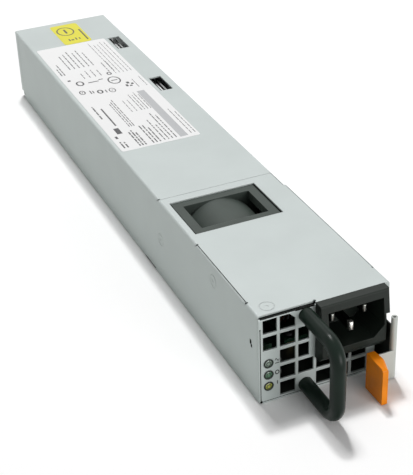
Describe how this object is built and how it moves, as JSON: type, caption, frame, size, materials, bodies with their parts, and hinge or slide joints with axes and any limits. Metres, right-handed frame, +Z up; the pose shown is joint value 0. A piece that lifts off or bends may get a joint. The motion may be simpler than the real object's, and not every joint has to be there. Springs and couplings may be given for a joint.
{
  "type": "hot swap server power supply",
  "caption": "Long slim hot swap power supply with a folded steel case, AC inlet, air grille, pull handle, sprung release tab, internal fan and a card edge at the rear.",
  "frame": {"origin": "middle of the case's flat bottom face", "axes": "+Y from the front panel to the rear card edge, along the bay's slide; +X to the right of someone facing the front panel; +Z up"},
  "size_m": [0.0552, 0.3585, 0.0401],
  "materials": {
    "case_steel": "satin, light grey plated steel sheet",
    "screw_steel": "satin zinc plated",
    "spring_steel": "satin",
    "inlet_plastic": "fine matt dark grey",
    "handle_plastic": "satin black",
    "tab_plastic": "satin orange",
    "fan_plastic": "matt dark grey",
    "nickel": "bright nickel plate",
    "gold": "bright gold plate",
    "copper": "enamelled copper",
    "laminate": "green solder mask",
    "film_plastic": "matt black film",
    "can_sleeve": "glossy dark sleeve",
    "box_plastic": "glossy moulded case",
    "package_plastic": "matt black epoxy",
    "ferrite": "matt dark grey ferrite",
    "winding_tape": "yellow tape",
    "aluminium": "extruded, bare",
    "brass_fitting": "plain",
    "label_white": "satin printed label",
    "label_yellow": "satin yellow label",
    "lamp_green": "clear green tint",
    "lamp_amber": "clear amber tint"
  },
  "bodies": {
    "root": {"chassis": "case_steel", "top_cover": "case_steel", "cover_screws": "screw_steel", "front_panel": "case_steel", "rear_panel": "case_steel", "inlet_bezel": "inlet_plastic", "inlet_contacts": "nickel", "handle": "handle_plastic", "handle_screws": "screw_steel", "latch_rivets": "screw_steel", "fan_frame": "fan_plastic", "fan_bearings": "brass_fitting", "fan_stator": "copper", "main_board": "laminate", "filter_board": "laminate", "edge_contacts": "gold", "board_standoffs": "brass_fitting", "board_screws": "screw_steel", "insulator_film": "film_plastic", "indicator_board": "laminate", "indicator_spacers": "brass_fitting", "green_lamps": "lamp_green", "amber_lamp": "lamp_amber", "bulk_capacitors": "can_sleeve", "output_capacitors": "can_sleeve", "pfc_choke": "copper", "line_choke": "copper", "transformer_core": "ferrite", "transformer_winding": "winding_tape", "primary_heat_sink": "aluminium", "secondary_heat_sink": "aluminium", "primary_transistors": "package_plastic", "secondary_transistors": "package_plastic", "bridge_rectifier": "package_plastic", "inrush_relay": "box_plastic", "line_fuse": "box_plastic", "film_capacitors": "box_plastic", "control_card": "laminate", "bus_bars": "copper", "rating_label": "label_white", "round_label": "label_yellow"},
    "latch": {"latch_spring": "spring_steel", "release_tab": "tab_plastic"},
    "fan": {"fan_impeller": "fan_plastic", "fan_magnet": "ferrite", "fan_shaft": "screw_steel"}
  },
  "joints": [
    {"name": "latch_flex", "type": "hinge", "parent": "root", "child": "latch", "pos_m": [0.02575, -0.10525, 0.01475], "axis": [0, 0, -1], "range_deg": [0, 1.3], "stiffness_Nm_per_rad": 4, "springref_deg": -0.57},
    {"name": "fan_spin", "type": "hinge", "parent": "root", "child": "fan", "pos_m": [-0.00405, -0.08125, 0.0201], "axis": [0, 1, 0], "continuous": true}
  ]
}
